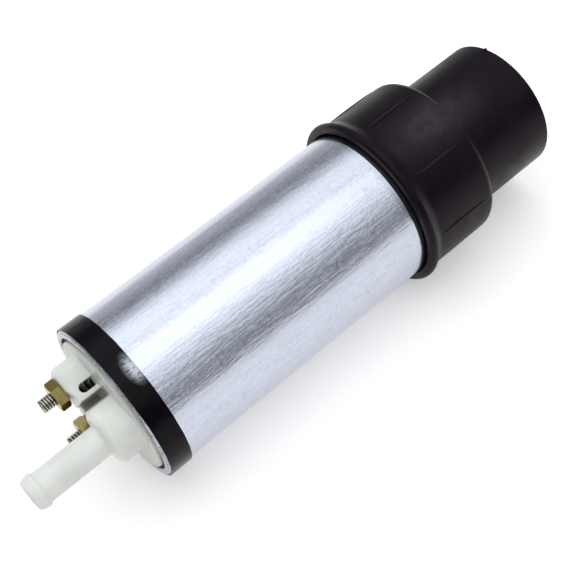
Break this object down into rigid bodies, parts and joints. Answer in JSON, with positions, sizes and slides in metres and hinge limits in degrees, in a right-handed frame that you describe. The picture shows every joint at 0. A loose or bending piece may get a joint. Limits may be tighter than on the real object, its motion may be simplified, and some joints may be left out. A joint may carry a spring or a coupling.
{
  "type": "fuel pump",
  "caption": "In-tank electric fuel pump: bright steel tube with a nylon outlet cap, hose pipe and terminal studs, a stepped rubber inlet sleeve, and a motor driving lobed pump rotors.",
  "frame": {"origin": "centre of the rubber sleeve's inlet mouth, at its end face", "axes": "+Z along the pump from the inlet to the outlet pipe; the outlet pipe stands on the -Y side and the taller terminal tower on the +X side"},
  "size_m": [0.0484, 0.0484, 0.1603],
  "materials": {
    "sleeve_rubber": "satin",
    "seal_rubber": "matte",
    "tube_zinc": "zinc plated, brushed along the tube",
    "band_black": "gloss",
    "cap_nylon": "satin, slightly translucent",
    "stud_zinc": "bright zinc",
    "nut_brass": "satin",
    "washer_steel": "dark",
    "spring_steel": "drawn wire",
    "brush_carbon": "matte",
    "copper": "satin",
    "winding_copper": "enamelled",
    "hub_resin": "matte",
    "lamination_steel": "matte",
    "magnet_ferrite": "matte",
    "clip_steel": "satin",
    "bearing_bronze": "sintered",
    "die_cast": "machined",
    "rotor_steel": "sintered and ground",
    "shaft_steel": "ground",
    "washer_plastic": "matte",
    "valve_plastic": "satin"
  },
  "bodies": {
    "pump": {"rubber_sleeve": "sleeve_rubber", "pump_shell": "tube_zinc", "rim_band": "band_black", "outlet_cap": "cap_nylon", "cap_seal": "seal_rubber", "stud_m4": "stud_zinc", "terminal_strip": "copper", "stud_m5": "stud_zinc", "washer_m5": "washer_steel", "nut_m4": "nut_brass", "nut_m5": "nut_brass", "brush_spring_a": "spring_steel", "brush_spring_b": "spring_steel", "upper_bearing": "bearing_bronze", "lower_bearing": "bearing_bronze", "magnets": "magnet_ferrite", "magnet_clips": "clip_steel", "eccentric_ring": "die_cast", "dowel_pins": "shaft_steel", "pump_body": "die_cast", "inlet_cover": "die_cast", "inlet_seal": "seal_rubber", "relief_plug": "copper", "relief_spring": "spring_steel", "check_seat": "copper", "check_spring": "spring_steel"},
    "rotor": {"shaft": "shaft_steel", "thrust_washers": "washer_plastic", "armature_stack": "lamination_steel", "armature_winding": "winding_copper", "commutator_hub": "hub_resin", "commutator_segments": "copper", "inner_rotor": "rotor_steel"},
    "outer_rotor": {"outer_rotor": "rotor_steel"},
    "brush_a": {"brush_a": "brush_carbon"},
    "brush_b": {"brush_b": "brush_carbon"},
    "check_poppet": {"check_poppet": "valve_plastic"},
    "relief_ball": {"relief_ball": "shaft_steel"}
  },
  "joints": [
    {"name": "armature_spin", "type": "hinge", "parent": "pump", "child": "rotor", "pos_m": [0, 0, 0.08], "axis": [0, 0, 1], "continuous": true},
    {"name": "outer_rotor_spin", "type": "hinge", "parent": "pump", "child": "outer_rotor", "pos_m": [-0.0011, 0, 0.0435], "axis": [0, 0, 1], "continuous": true},
    {"name": "brush_a_slide", "type": "slide", "parent": "pump", "child": "brush_a", "axis": [0, 0, 1], "range_m": [0, 0.003], "stiffness_N_per_m": 60, "springref_m": -0.01, "deforming": ["brush_spring_a"]},
    {"name": "brush_b_slide", "type": "slide", "parent": "pump", "child": "brush_b", "axis": [0, 0, 1], "range_m": [0, 0.003], "stiffness_N_per_m": 60, "springref_m": -0.01, "deforming": ["brush_spring_b"]},
    {"name": "check_valve_lift", "type": "slide", "parent": "pump", "child": "check_poppet", "axis": [0, 0, 1], "range_m": [0, 0.0025], "stiffness_N_per_m": 40, "springref_m": -0.004, "deforming": ["check_spring"]},
    {"name": "relief_valve_lift", "type": "slide", "parent": "pump", "child": "relief_ball", "axis": [0, 0, -1], "range_m": [0, 0.0015], "stiffness_N_per_m": 300, "springref_m": -0.004, "deforming": ["relief_spring"]}
  ],
  "couplings": [
    {"joint": "outer_rotor_spin", "follows": "armature_spin", "ratio": 0.85714}
  ]
}
